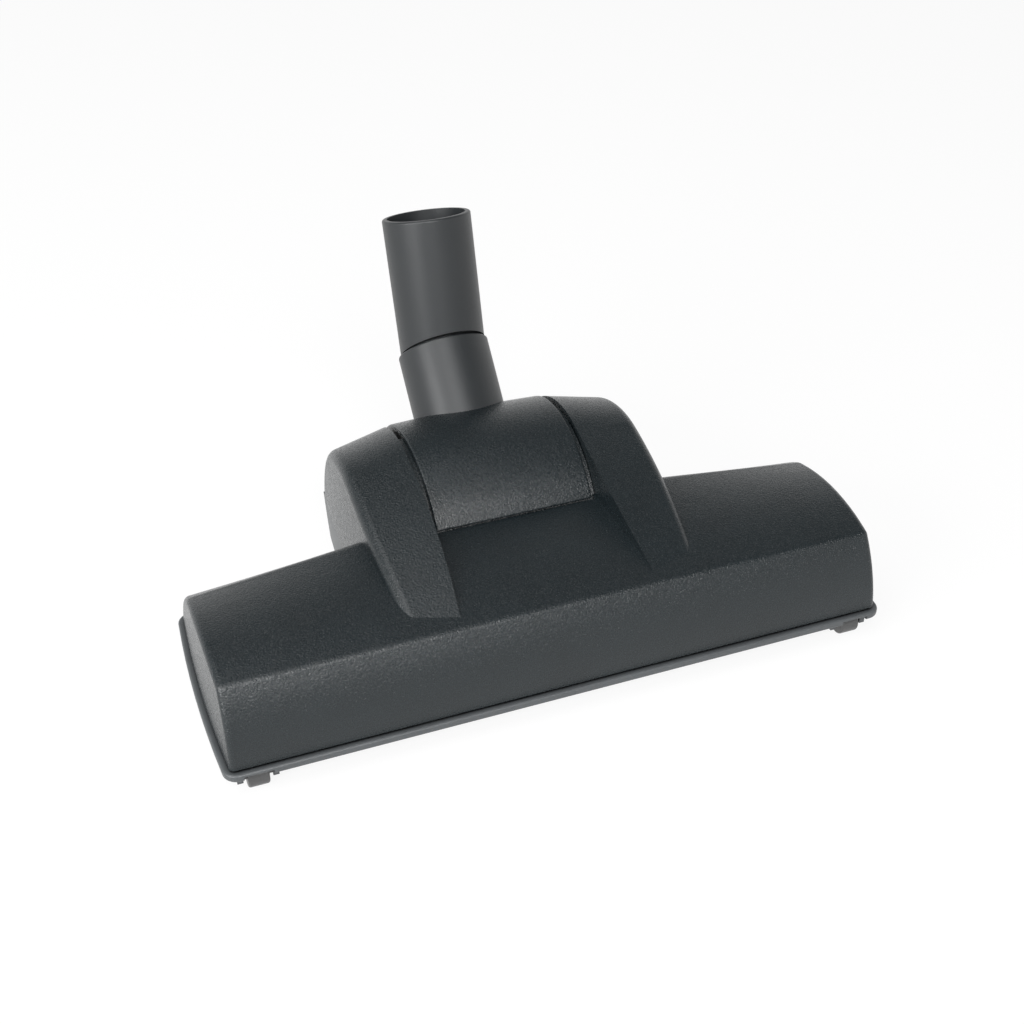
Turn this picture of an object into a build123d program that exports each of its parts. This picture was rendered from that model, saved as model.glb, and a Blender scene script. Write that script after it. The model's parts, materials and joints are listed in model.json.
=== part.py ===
from build123d import *
import os
from math import cos, radians, sin, sqrt, tan

# Air-driven vacuum floor brush head: a wide low head with a forked rear, a roll-top cover on a
# tilting neck and a bent swivel tube. Millimetres and degrees. X runs across the head, Y runs back
# from the front foot of the upper shell, and Z runs up from the floor.

# Upper shell, head
foot_height = 13.7
shell_half_width = 141.2
shell_depth = 97.5
end_curve_radius = 600.0
end_draft = 3.3
crown_height = 49.2
crown_y = 37.0
crown_radius = 100.0
shoulder_y = 11.9
shoulder_radius = 3.5
crest_setback = 28.2
crest_radius = 6.0
middle_crest_setback = 25.5
middle_crest_height = 52.0
middle_crown_bulge = 1.8
middle_inset = 4.4
front_bulge = 2.5
rear_bulge = 3.5
end_edge_radius = 2.5
wall = 2.2

# Rear arms, left and right of the neck
tilt_y = 105.6
tilt_height = 26.0
arm_radius = 47.5
arm_toe_y = 14.0
arm_toe_drop = 3.2
arm_crest_angle = 17.0
arm_rise_bulge = 2.2
arm_back_fall = 6.5
arm_slope = 0.07
arm_gap_half = 36.0
arm_width = 31.0
arm_flare_setback = 20.6
arm_flare_radius = 513.0
arm_side_setback = 17.6
arm_side_radius = 550.0
arm_draft = 2.0
arm_edge_radius = 4.5
arm_root_length = 13.5

# Roll-top cover and the dome below it; angles are from the front horizontal, over the top
cover_crown = 0.8
cover_wall = 2.4
cover_side_gap = 1.2
cover_lip_angle = 34.0
cover_rear_angle = 160.0
cover_edge_radius = 0.8
dome_gap = 0.4
lip_seat_angle = 0.7
dome_rear_angle = 99.0

# Swivel tube
tube_lean = 18.2
tube_length = 60.6
socket_radius = 17.5
socket_depth = 42.0
socket_wall = 2.3
mouth_flare = 0.5
mouth_edge_radius = 1.0
swivel_gap = 0.7
spigot_length = 14.0
spigot_wall = 2.6
spigot_step = 0.6
ring_depth = 9.0
ring_width = 2.0
ring_overlap = 0.6
ring_split = 6.0
groove_depth = 1.0
seal_depth = 4.5
seal_width = 1.8

# Neck
neck_lean = 45.0
neck_shoulder = 0.95
neck_wall = 2.75
neck_length = 78.6
neck_start = 10.0
barrel_radius = 18.5
barrel_wall = 2.4
barrel_side_gap = 2.0
throat_lip = 1.0
window_inset = 10.0
window_start_angle = -66.0
window_end_angle = 36.0
neck_edge_radius = 0.8
rib_inset = 6.0
rib_thickness = 2.4
rib_start_angle = 118.0
rib_end_angle = 158.0
trunnion_radius = 7.0
trunnion_length = 5.5
pivot_bush_wall = 2.5
pivot_flange_width = 2.0
pivot_flange_thickness = 1.6
pivot_bush_proud = 1.0
saddle_top_angle = 6.0

# Base housing
rim_proud = 2.4
rim_height = 3.3
foot_gap = 0.9
ledge_setback = 1.6
rim_corner_radius = 6.0
rim_edge_radius = 1.0
rim_width = 9.0
skirt_inset = 7.0
base_bottom = 4.0
floor_thickness = 2.2
upstand_height = 5.0
upstand_thickness = 1.8

# Brush roll
brush_y = 28.0
bristle_radius = 20.0
bristle_lift = 0.5
core_radius = 10.5
core_end_gap = 2.0
tuft_radius = 2.1
tuft_sides = 8
tuft_seat = 4.0
tuft_count = 25
tuft_rows = 2
tuft_end_gap = 3.5
tuft_turn = 135.0
stub_radius = 4.0
stub_short = 0.5
brush_bush_wall = 2.5
holder_inset = 8.0
holder_thickness = 5.5
holder_half_width = 8.0
holder_reach = 10.5
cheek_thickness = 2.0

# Rollers and wheels
roller_inset = 12.5
roller_y = 5.2
roller_radius = 5.0
roller_half_width = 4.3
roller_stub_radius = 1.5
roller_stub_length = 2.2
roller_edge_radius = 1.0
roller_side_gap = 1.5
pocket_wall = 2.4
pocket_front_y = 2.4
notch_top = 11.6
notch_depth = 3.4
wheel_inset = 14.5
wheel_setback = 19.4
wheel_radius = 15.0
wheel_half_width = 4.5
tyre_thickness = 4.0
tyre_edge_radius = 1.2
hub_dish = 2.4
hub_boss_radius = 4.0
axle_radius = 2.0
axle_proud = 1.0
axle_rib_thickness = 2.2
axle_rib_rise = 6.0
well_side_gap = 1.3
well_end_gap = 2.0

# Sole plate and its locks
sole_inset = 11.2
sole_corner_gap = 2.0
sole_corner_y = 18.0
sole_front_border = 5.0
sole_rear_border = 5.5
sole_ledge = 1.6
sole_ledge_thickness = 1.8
mouth_end_border = 3.0
mouth_front_reach = 15.5
mouth_rear_reach = 16.5
mouth_notch_count = 7
mouth_notch_width = 9.0
lock_x = 70.0
lock_setback = 6.5
lock_shank_radius = 3.0
lock_head_thickness = 1.6
lock_disc_radius = 5.5
lock_ear_length = 8.0
lock_ear_half_width = 2.6
lock_snap_height = 2.0
lock_snap_overlap = 0.5
lock_slot_width = 1.4
lock_slot_half_length = 4.5

# Turbine and belt drive
turbine_height = 24.5
turbine_radius = 14.5
turbine_half_width = 26.0
turbine_hub_radius = 5.0
turbine_disc_thickness = 1.4
blade_count = 10
blade_thickness = 1.2
blade_bow = 2.2
shaft_radius = 2.5
shaft_proud = 1.0
turbine_bush_wall = 2.5
turbine_bush_width = 4.0
chamber_tip_gap = 1.1
chamber_side_gap = 2.0
chamber_wall = 2.0
belt_setback = 10.0
belt_width = 6.0
belt_thickness = 1.2
pinion_radius = 6.0
pulley_step = 2.1
pulley_width = 9.6
pulley_flange = 1.2
inlet_sill = 0.5
inlet_height = 11.5
outlet_sill = 1.5
outlet_height = 12.5

# Screws
end_screw_inset = 19.2
end_screw_setback = 7.0
arm_screw_gap = 11.6
arm_screw_inset = 17.5
screw_radius = 1.6
screw_head_radius = 3.4
screw_head_height = 1.7
screw_end = 24.0
boss_radius = 4.2
boss_joint = 10.0

# Clearances
running = 0.05
slide = 0.3
free = 0.4

# Sizes that follow: arms, cover, tube and neck
crest_y = shell_depth - crest_setback
middle_crest_y = shell_depth - middle_crest_setback
arm_half_width = arm_gap_half + arm_width
arm_flare_y = tilt_y - arm_flare_setback
arm_side_y = tilt_y - arm_side_setback
arm_root_y = shell_depth - arm_root_length
arm_toe_height = crown_height - arm_toe_drop
cover_end_radius = arm_radius
cover_radius = cover_end_radius + cover_crown
cover_half_length = arm_gap_half - cover_side_gap
mouth_radius = socket_radius + socket_wall
tube_foot_radius = mouth_radius - mouth_flare
neck_radius = mouth_radius + neck_shoulder
neck_bore_radius = neck_radius - neck_wall
spigot_bore_radius = neck_bore_radius - spigot_wall
tube_bore_radius = spigot_bore_radius + spigot_step
ring_radius = neck_bore_radius + ring_overlap
ring_groove_radius = neck_bore_radius - groove_depth
barrel_half_length = arm_gap_half - barrel_side_gap
throat_radius = barrel_radius - barrel_wall - throat_lip
window_half_width = barrel_half_length - window_inset
rib_half_spacing = barrel_half_length - rib_inset
trunnion_end = arm_gap_half + trunnion_length
pivot_bush_radius = trunnion_radius + pivot_bush_wall
pivot_flange_radius = pivot_bush_radius + pivot_flange_width

# Sizes that follow: rim, rollers, wheels, sole and brush
rim_top = foot_height - foot_gap
rim_bottom = rim_top - rim_height
ledge_height = base_bottom + floor_thickness + sole_ledge_thickness
roller_x = shell_half_width - roller_inset
pocket_half_width = roller_half_width + roller_side_gap
wheel_x = arm_gap_half + wheel_inset
wheel_y = tilt_y + wheel_setback
hub_radius = wheel_radius - tyre_thickness
well_half_width = wheel_half_width + well_side_gap
well_half_length = wheel_radius + well_end_gap
axle_half_length = well_half_width + axle_rib_thickness + axle_proud
axle_rib_height = wheel_radius + axle_rib_rise
mouth_front_y = brush_y - mouth_front_reach
mouth_rear_y = brush_y + mouth_rear_reach
sole_front_y = mouth_front_y - sole_front_border
sole_rear_y = mouth_rear_y + sole_rear_border
sole_half_width = shell_half_width - sole_inset
sole_corner_half_width = roller_x - pocket_half_width - pocket_wall - sole_corner_gap
mouth_half_width = sole_corner_half_width - mouth_end_border
lock_y = sole_rear_y + lock_setback
brush_height = bristle_radius + bristle_lift
holder_start = sole_half_width - holder_inset
holder_top = brush_height + holder_reach
core_half_length = holder_start - core_end_gap
stub_end = holder_start + holder_thickness - stub_short
brush_bush_radius = stub_radius + brush_bush_wall
tuft_end = mouth_half_width - tuft_end_gap

# Sizes that follow: turbine, belt and screws
chamber_radius = turbine_radius + chamber_tip_gap
chamber_half_width = turbine_half_width + chamber_side_gap
turbine_y = sole_rear_y + free + chamber_wall + chamber_radius
turbine_bush_radius = shaft_radius + turbine_bush_wall
shaft_left = -(chamber_half_width + 2 * chamber_wall + 2 * shaft_proud)
belt_x = chamber_half_width + chamber_wall + belt_setback
pulley_radius = core_radius + pulley_step
inlet_bottom = ledge_height + inlet_sill
inlet_top = inlet_bottom + inlet_height
outlet_bottom = ledge_height + outlet_sill
outlet_top = outlet_bottom + outlet_height
screw_places = (
    (shell_half_width - end_screw_inset, sole_rear_y + end_screw_setback),
    (arm_half_width + arm_screw_gap, shell_depth - arm_screw_inset),
)


def across(radius, start, end, y, height):
    """A cylinder along X between two places."""
    middle = Pos((start + end) / 2, y, height)
    return middle * Rot(0, 90, 0) * Cylinder(radius, end - start)


def upright(radius, bottom, top, x, y):
    """A cylinder along Z between two heights."""
    return Pos(x, y, (bottom + top) / 2) * Cylinder(radius, top - bottom)


def block(xs, ys, zs):
    """A straight wall or rib between two corners."""
    size = [high - low for low, high in (xs, ys, zs)]
    middle = [(high + low) / 2 for low, high in (xs, ys, zs)]
    return Pos(*middle) * Box(*size)


def both_sides(solid):
    """A solid and its mirror image on the other side of the head."""
    return solid + mirror(solid, about=Plane.YZ)


def flat_face(curves):
    """A flat face inside a closed outline, drawn anticlockwise."""
    return make_face(Curve() + curves).face()


def crown_at(y):
    """Height of the crown of the head at a depth."""
    return crown_height - crown_radius + sqrt(crown_radius**2 - (y - crown_y) ** 2)


def end_at(y):
    """Half width of the bulged end at a depth, at the foot."""
    middle = shell_depth / 2
    return shell_half_width - end_curve_radius + sqrt(end_curve_radius**2 - (y - middle) ** 2)


def round_tilt(radius, angle):
    """Depth and height at a radius round the tilt axis, by angle from the front horizontal."""
    return (
        tilt_y - radius * cos(radians(angle)),
        tilt_height + radius * sin(radians(angle)),
    )


def sector(inner, outer, half_length, start, end):
    """A piece of a ring round the tilt axis, between two angles from the front horizontal."""
    normal = (0, -sin(radians(start)), -cos(radians(start)))
    plane = Plane(origin=(0, tilt_y, tilt_height), x_dir=(1, 0, 0), z_dir=normal)
    face = plane * Pos(0, (inner + outer) / 2) * Rectangle(2 * half_length, outer - inner)
    axis = Axis((0, tilt_y, tilt_height), (-1, 0, 0))
    return revolve(face, axis=axis, revolution_arc=end - start)


# Planes along the neck and the tube; their Z axes run up the pipes
neck_way = (0, sin(radians(neck_lean)), cos(radians(neck_lean)))
tube_way = (0, sin(radians(tube_lean)), cos(radians(tube_lean)))
neck_plane = Plane(origin=(0, tilt_y, tilt_height), x_dir=(1, 0, 0), z_dir=neck_way)
joint_y = tilt_y + neck_length * neck_way[1]
joint_height = tilt_height + neck_length * neck_way[2]
tube_plane = Plane(origin=(0, joint_y, joint_height), x_dir=(1, 0, 0), z_dir=tube_way)

# The part's own origin is on the floor, in the middle of the overall length
mouth_back_y = joint_y + tube_length * tube_way[1] + mouth_radius * tube_way[2]
origin_y = (mouth_back_y - rim_proud) / 2


def last_edge(pipe, plane):
    """The edge of a pipe that is furthest up the Z axis of a plane."""
    return pipe.edges().sort_by(Axis(plane.origin, plane.z_dir))[-1]


def along(plane, radius, start, end, top_radius=None):
    """A cylinder or cone along the Z axis of a plane, between two distances from its origin."""
    if top_radius is None:
        pipe = Cylinder(radius, end - start)
    else:
        pipe = Cone(radius, top_radius, end - start)
    return plane * Pos(0, 0, (start + end) / 2) * pipe


def head_section(inset, middle):
    """Section of the head in its middle or at its ends, drawn in by an inset, down to the floor."""
    foot = (0, foot_height)
    shoulder = (shoulder_y, crown_at(shoulder_y))
    heel = (shell_depth, foot_height)
    if middle:
        crest = (middle_crest_y, middle_crest_height)
        crown = SagittaArc(shoulder, crest, middle_crown_bulge)
    else:
        crest = (crest_y, crown_at(crest_y))
        crown = ThreePointArc(shoulder, (crown_y, crown_height), crest)
    outline = [
        SagittaArc(foot, shoulder, front_bulge),
        crown,
        SagittaArc(crest, heel, rear_bulge),
        Polyline(heel, (shell_depth, 0), (0, 0), foot),
    ]
    face = flat_face(outline)
    if inset:
        face = offset(face, amount=-inset, kind=Kind.INTERSECTION)
    for place, radius in ((shoulder, shoulder_radius), (crest, crest_radius)):
        if radius > inset:
            corner = face.vertices().sort_by_distance(Vector(*place))[0]
            face = fillet(corner, radius - inset)
    return face


def foot_outline():
    """Plan of the head at its foot, with bulged ends."""
    middle = shell_depth / 2
    right = ThreePointArc(
        (end_at(0), 0), (shell_half_width, middle), (end_at(shell_depth), shell_depth)
    )
    left = mirror(right, about=Plane.YZ)
    front = Line((-end_at(0), 0), (end_at(0), 0))
    rear = Line((-end_at(shell_depth), shell_depth), (end_at(shell_depth), shell_depth))
    return flat_face([right, left, front, rear])


def raised_edges(form, faces, bottom):
    """Edges of a form that border some of its faces and lie above a height."""
    borders = [edge for face in faces for edge in face.edges()]
    return form.edges().filter_by(
        lambda edge: edge.center().Z > bottom + running and any(edge.is_same(b) for b in borders)
    )


def head_form(inset):
    """The head without its arms, drawn in by an inset from its outer skin."""
    plan = foot_outline()
    if inset:
        plan = offset(plan, amount=-inset, kind=Kind.INTERSECTION)
    end_x = shell_half_width + wall
    level_x = arm_half_width - middle_inset
    places = ((-end_x, False), (-level_x, True), (level_x, True), (end_x, False))
    sections = [Pos(x, 0, 0) * (Plane.YZ * head_section(inset, middle)) for x, middle in places]
    ends = extrude(Pos(0, 0, foot_height) * plan, amount=crown_height, taper=end_draft)
    form = loft(sections, ruled=True) & ends
    if inset:
        return form
    faces = form.faces().sort_by(Axis.X)
    return fillet(raised_edges(form, (faces[0], faces[-1]), foot_height), end_edge_radius)


def arm_section(fall):
    """Side view of an arm, carried on down to the floor, with its back drawn in by a fall."""
    toe = (arm_toe_y, arm_toe_height)
    crest = round_tilt(arm_radius, 90 - arm_crest_angle)
    top = round_tilt(arm_radius - fall, 135)
    rear = round_tilt(arm_radius - fall, 180)
    outline = [
        SagittaArc(toe, crest, arm_rise_bulge),
        ThreePointArc(crest, top, rear),
        Polyline(rear, (rear[0], 0), (arm_toe_y, 0), toe),
    ]
    return flat_face(outline)


def arm_outline():
    """Plan of the right arm at the tilt axis: straight beside the neck, flared to the front."""
    rear_y = tilt_y + arm_radius + 2 * wall

    def inner_at(y):
        return arm_gap_half + (arm_flare_y - y) ** 2 / (2 * arm_flare_radius)

    def outer_at(y):
        return arm_half_width - (arm_side_y - y) ** 2 / (2 * arm_side_radius)

    front_y = arm_toe_y / 2
    middle_y = (front_y + arm_flare_y) / 2
    flare = (arm_gap_half, arm_flare_y)
    inner_front = (inner_at(front_y), front_y)
    inner_rear = (arm_gap_half, rear_y)
    outer_front = (outer_at(front_y), front_y)
    outer_rear = (outer_at(rear_y), rear_y)
    outline = [
        ThreePointArc(outer_front, (arm_half_width, arm_side_y), outer_rear),
        Polyline(outer_rear, inner_rear, flare),
        ThreePointArc(flare, (inner_at(middle_y), middle_y), inner_front),
        Line(inner_front, outer_front),
    ]
    return flat_face(outline)


def arm_form(inset):
    """The upper half of the right arm, drawn in by an inset from its outer skin."""
    plan = arm_outline()
    if inset:
        plan = offset(plan, amount=-inset, kind=Kind.INTERSECTION)
    sections = []
    for x, fall in ((arm_gap_half - wall, 0), (arm_half_width + wall, arm_back_fall)):
        section = arm_section(fall)
        if inset:
            section = offset(section, amount=-inset, kind=Kind.INTERSECTION)
        drop = arm_slope * (x - arm_gap_half)
        sections.append(Pos(x, 0, -drop) * (Plane.YZ * section))
    pillar = extrude(Pos(0, 0, tilt_height) * plan, amount=arm_radius + wall, taper=arm_draft)
    form = loft(sections, ruled=True) & pillar
    radius = arm_edge_radius - inset
    if radius > 0:
        side = form.faces().sort_by(Axis.X)[-1]
        form = fillet(raised_edges(form, (side,), tilt_height), radius)
    return form


def upper_shell():
    """The top moulding: head, arms and dome, hollow, with bosses and ribs inside."""
    cover_inner = cover_end_radius - cover_wall
    dome_radius = cover_inner - dome_gap
    dome_half = arm_gap_half + wall / 2
    arm = arm_form(0)
    dome = sector(barrel_radius, dome_radius, dome_half, 0, dome_rear_angle)
    outer = head_form(0) + both_sides(arm) + dome
    hollow_arm = arm_form(wall)
    hollow_dome = sector(barrel_radius, dome_radius - wall, arm_gap_half, 0, 180)
    hollow = head_form(wall) + both_sides(hollow_arm) + hollow_dome
    shell = outer - hollow

    # Bosses for the screws, and ribs that hold the wheel axles down
    posts = []
    for x, y in screw_places:
        boss = upright(boss_radius, boss_joint, crown_height, x, y)
        pilot = upright(screw_radius + running, 0, screw_end + screw_radius, x, y)
        posts.append(both_sides(boss - pilot) & outer)
    for x in (wheel_x - well_half_width, wheel_x + well_half_width):
        side = 1 if x > wheel_x else -1
        rib_xs = sorted((x, x + side * axle_rib_thickness))
        rib = block(
            rib_xs,
            (wheel_y - axle_radius, wheel_y + axle_radius),
            (wheel_radius + axle_radius + running, tilt_height + arm_radius),
        )
        above = block(rib_xs, (0, 2 * tilt_y), (tilt_height, tilt_height + 2 * arm_radius))
        stem = rib - above
        posts.append(both_sides((rib & arm) + stem))
    for post in posts:
        shell = shell + post

    # Room for the cover above its seat, the barrel, the trunnion bushes and the lower arms
    seat = cover_lip_angle - lip_seat_angle
    room = sector(dome_radius, cover_radius + free, arm_gap_half, seat, dome_rear_angle)
    room = room + across(barrel_radius + free, -arm_gap_half, arm_gap_half, tilt_y, tilt_height)
    return shell - room - both_sides(pivot_seat()) - arm_gate(slide)


def pivot_seat():
    """Round seat of a trunnion's bush in the wall of the right arm."""
    start = arm_gap_half - pivot_bush_proud
    return across(pivot_bush_radius + running, start, trunnion_end, tilt_y, tilt_height)


def arm_gate(gap):
    """Room in the rear of the head where the lower arms pass, with a gap round them."""
    half = arm_half_width + gap
    return block((-half, half), (arm_root_y - gap, shell_depth + wall), (0, tilt_height))


def arm_tail(inset):
    """The round back of the right arm about the tilt axis, drawn in by an inset."""
    start = arm_gap_half - wall
    end = arm_half_width + wall
    back = Cone(arm_radius - inset, arm_radius - arm_back_fall - inset, end - start)
    return Pos((start + end) / 2, tilt_y, tilt_height) * Rot(0, 90, 0) * back


def arm_inside():
    """The hollow of the lower half of the right arm, above its floor."""
    plan = offset(arm_outline(), amount=-wall, kind=Kind.INTERSECTION)
    depth = tilt_height - base_bottom - floor_thickness
    inside = extrude(Pos(0, 0, tilt_height) * plan, amount=-depth, taper=arm_draft)
    behind = block((0, 2 * arm_half_width), (arm_root_y, 2 * tilt_y), (0, tilt_height))
    return inside & arm_tail(wall) & behind


def lower_arm():
    """The lower half of the right arm: a tray with a wheel well and axle seats."""
    plan = arm_outline()
    depth = tilt_height - base_bottom
    outside = extrude(Pos(0, 0, tilt_height) * plan, amount=-depth, taper=arm_draft)
    tail = arm_tail(0)
    behind = block((0, 2 * arm_half_width), (arm_root_y, 2 * tilt_y), (0, tilt_height))
    arm = (outside & tail & behind) - arm_inside()

    well_ys = (wheel_y - well_half_length, wheel_y + well_half_length)
    for side in (-1, 1):
        face = wheel_x + side * well_half_width
        xs = sorted((face, face + side * axle_rib_thickness))
        rib = block(xs, well_ys, (base_bottom, axle_rib_height))
        slot = block(
            xs,
            (wheel_y - axle_radius - running, wheel_y + axle_radius + running),
            (wheel_radius, axle_rib_height),
        )
        seat = across(axle_radius + running, xs[0], xs[1], wheel_y, wheel_radius)
        arm = arm + ((rib & tail) - slot - seat)
    well = block(
        (wheel_x - well_half_width, wheel_x + well_half_width),
        well_ys,
        (0, base_bottom + floor_thickness),
    )
    return arm - well - pivot_seat()


def sole_outline():
    """Plan of the sole plate, with its front corners cut back for the rollers."""
    wide = Pos(0, (sole_corner_y + sole_rear_y) / 2)
    wide = wide * Rectangle(2 * sole_half_width, sole_rear_y - sole_corner_y)
    tongue = Pos(0, (sole_front_y + sole_rear_y) / 2)
    tongue = tongue * Rectangle(2 * sole_corner_half_width, sole_rear_y - sole_front_y)
    return wide + tongue


def roller_pocket():
    """Block and room of the right roller pocket, as two solids."""
    xs = (roller_x - pocket_half_width, roller_x + pocket_half_width)
    roof = 2 * roller_radius + free
    pocket_rear_y = roller_y + roller_radius + 2 * free
    body = block(
        (xs[0] - pocket_wall, xs[1] + pocket_wall),
        (pocket_front_y, pocket_rear_y + pocket_wall),
        (base_bottom, roof + pocket_wall),
    )
    front_y = -2 * rim_proud
    room = block(xs, (front_y, pocket_rear_y), (0, roof))
    notch = block(xs, (front_y, notch_depth - rim_proud), (0, notch_top))
    stub = roller_half_width + roller_stub_length + free
    stub_room = across(
        roller_stub_radius + running, roller_x - stub, roller_x + stub, roller_y, roller_radius
    )
    slot = block(
        (roller_x - stub, roller_x + stub),
        (roller_y - roller_stub_radius - running, roller_y + roller_stub_radius + running),
        (0, roller_radius),
    )
    return body, room + notch + stub_room + slot


def base_housing():
    """The bottom moulding: rim, floor, lower arms, chamber walls, saddle and pockets."""
    foot = foot_outline()
    floor_top = base_bottom + floor_thickness
    rim_plan = offset(foot, amount=rim_proud, kind=Kind.INTERSECTION)
    rim_plan = fillet(rim_plan.vertices(), rim_corner_radius)
    skirt_plan = offset(rim_plan, amount=-skirt_inset)
    tray_plan = offset(foot, amount=rim_proud - rim_width, kind=Kind.INTERSECTION)
    rim = extrude(Pos(0, 0, rim_bottom) * rim_plan, amount=rim_top - rim_bottom)
    levels = rim.edges().group_by(Axis.Z)
    rim = fillet(levels[0] + levels[-1], rim_edge_radius)
    skirt = extrude(Pos(0, 0, base_bottom) * skirt_plan, amount=rim_bottom - base_bottom)
    tray = extrude(Pos(0, 0, floor_top) * tray_plan, amount=rim_top)
    base = rim + skirt - tray

    # The shell's foot rests on a ledge, and an upstand stands inside its wall
    ledge_plan = offset(foot, amount=-ledge_setback, kind=Kind.INTERSECTION)
    lip_inset = wall + slide + upstand_thickness
    ledge_hole = offset(foot, amount=-lip_inset, kind=Kind.INTERSECTION)
    ledge = extrude(Pos(0, 0, rim_top) * (ledge_plan - ledge_hole), amount=foot_height - rim_top)
    reach = 2 * shell_half_width
    upstand = block((-reach, reach), (-reach, reach), (foot_height, foot_height + upstand_height))
    lip = (head_form(wall + slide) - head_form(lip_inset)) & upstand
    base = base + (ledge + lip - arm_gate(slide))

    # Brush opening, with a ledge that the sole plate closes against
    sole = sole_outline()
    recess = extrude(offset(sole, amount=slide, kind=Kind.INTERSECTION), amount=floor_top)
    frame = offset(sole, amount=slide + sole_ledge, kind=Kind.INTERSECTION)
    opening = extrude(offset(sole, amount=-sole_ledge, kind=Kind.INTERSECTION), amount=ledge_height)
    frame = extrude(Pos(0, 0, floor_top) * frame, amount=ledge_height - floor_top)
    base = base + frame - recess - opening

    # Divider wall behind the brush, with the air inlet and the slot for the belt
    divider_ys = (turbine_y - chamber_radius - chamber_wall, turbine_y - chamber_radius)
    divider = block((-holder_start, holder_start), divider_ys, (floor_top, turbine_height))
    inlet = block((-window_half_width, window_half_width), divider_ys, (inlet_bottom, inlet_top))
    slot_half = pulley_width / 2 + slide
    slot_xs = (belt_x - slot_half, belt_x + slot_half)
    belt_slot = block(slot_xs, divider_ys, (ledge_height, turbine_height))
    base = base + (divider - inlet - belt_slot)

    # Sides of the turbine chamber, with seats for the turbine's bushes
    saddle_inner = barrel_radius + free
    chamber_ys = (divider_ys[0], tilt_y - saddle_inner)
    side = block(
        (chamber_half_width, chamber_half_width + chamber_wall),
        chamber_ys,
        (floor_top, turbine_height),
    )
    bush_room = turbine_bush_radius + running
    reach = chamber_half_width + 2 * chamber_wall
    bush_seat = across(bush_room, -reach, reach, turbine_y, turbine_height)
    base = base + (both_sides(side) - bush_seat)

    # Cheeks and roof round the brush's bearing holders
    cheek_half = holder_half_width + running
    outer_half = cheek_half + cheek_thickness
    cheek_xs = (holder_start - running, sole_half_width + sole_ledge)
    cheek_top = holder_top + running + cheek_thickness
    hood = block(cheek_xs, (brush_y - outer_half, brush_y + outer_half), (floor_top, cheek_top))
    hood_room = block(
        (0, holder_start + holder_thickness + running),
        (brush_y - cheek_half, brush_y + cheek_half),
        (0, holder_top + running),
    )
    base = base + both_sides(hood - hood_room)

    # Roller pockets, screw bosses and lock holes
    pocket, pocket_room = roller_pocket()
    base = base + both_sides(pocket) - both_sides(pocket_room)
    for x, y in screw_places:
        boss = upright(boss_radius, base_bottom, boss_joint, x, y)
        hole = upright(screw_radius + slide, 0, boss_joint, x, y)
        sink = upright(screw_head_radius + slide, 0, base_bottom + screw_head_height, x, y)
        base = base + both_sides(boss) - both_sides(hole + sink)
    lock_hole = upright(lock_shank_radius + running, 0, rim_top, lock_x, lock_y)
    base = base - both_sides(lock_hole)

    # Fork: room for the barrel, then the lower arms and the saddle in front of the barrel
    room = across(saddle_inner, -arm_gap_half, arm_gap_half, tilt_y, tilt_height)
    base = base - room - both_sides(arm_inside()) + both_sides(lower_arm())
    saddle = sector(saddle_inner, saddle_inner + wall, arm_gap_half + wall / 2, -90, -saddle_top_angle)
    outlet = block(
        (-window_half_width, window_half_width),
        (turbine_y, tilt_y),
        (outlet_bottom, outlet_top),
    )
    return base + (saddle - outlet)


def sole_plate():
    """Removable plate round the suction mouth, with grooves in its front edge."""
    plate = extrude(Pos(0, 0, base_bottom) * sole_outline(), amount=floor_thickness)
    mouth_ys = (mouth_front_y, mouth_rear_y)
    mouth = block((-mouth_half_width, mouth_half_width), mouth_ys, (0, ledge_height))
    plate = plate - mouth
    pitch = 2 * sole_corner_half_width / mouth_notch_count
    for place in range(mouth_notch_count):
        x = (place - (mouth_notch_count - 1) / 2) * pitch
        groove = block(
            (x - mouth_notch_width / 2, x + mouth_notch_width / 2),
            (0, mouth_front_y),
            (0, base_bottom + floor_thickness / 2),
        )
        plate = plate - groove
    return plate


def sole_lock(side):
    """Quarter-turn lock: a coin-slotted disc with an ear under the sole plate, and a snap shank."""
    x = side * lock_x
    head_top = base_bottom - running
    head_bottom = head_top - lock_head_thickness
    disc = upright(lock_disc_radius, head_bottom, head_top, x, lock_y)
    ear_xs = (x - lock_ear_half_width, x + lock_ear_half_width)
    ear = block(ear_xs, (lock_y - lock_ear_length, lock_y), (head_bottom, head_top))
    tip = upright(lock_ear_half_width, head_bottom, head_top, x, lock_y - lock_ear_length)
    shank_top = base_bottom + floor_thickness + running
    shank = upright(lock_shank_radius, head_bottom, shank_top, x, lock_y)
    snap = Pos(x, lock_y, shank_top + lock_snap_height / 2)
    snap = snap * Cone(lock_shank_radius + lock_snap_overlap, lock_shank_radius, lock_snap_height)
    coin_slot = block(
        (x - lock_slot_width / 2, x + lock_slot_width / 2),
        (lock_y - lock_slot_half_length, lock_y + lock_slot_half_length),
        (0, head_bottom + lock_head_thickness / 2),
    )
    return disc + ear + tip + shank + snap - coin_slot


def tuft_places():
    """Place along the brush and angle of each tuft: chevron rows, with a gap at the pulley."""
    pitch = 2 * tuft_end / (tuft_count - 1)
    gap = pulley_width / 2 + tuft_radius + free
    for row in range(tuft_rows):
        for place in range(tuft_count):
            x = place * pitch - tuft_end
            if abs(x - belt_x) > gap:
                yield x, row * 360 / tuft_rows + tuft_turn * abs(x) / tuft_end


def bristle_tufts():
    """Bristle bundles, set in the core and ending at the tip circle."""
    length = bristle_radius - core_radius + tuft_seat
    tufts = []
    for x, angle in tuft_places():
        bundle = extrude(RegularPolygon(tuft_radius, tuft_sides), amount=length)
        place = Pos(x, brush_y, brush_height) * Rot(angle, 0, 0)
        tufts.append(place * Pos(0, 0, core_radius - tuft_seat) * bundle)
    return Compound(children=tufts)


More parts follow.
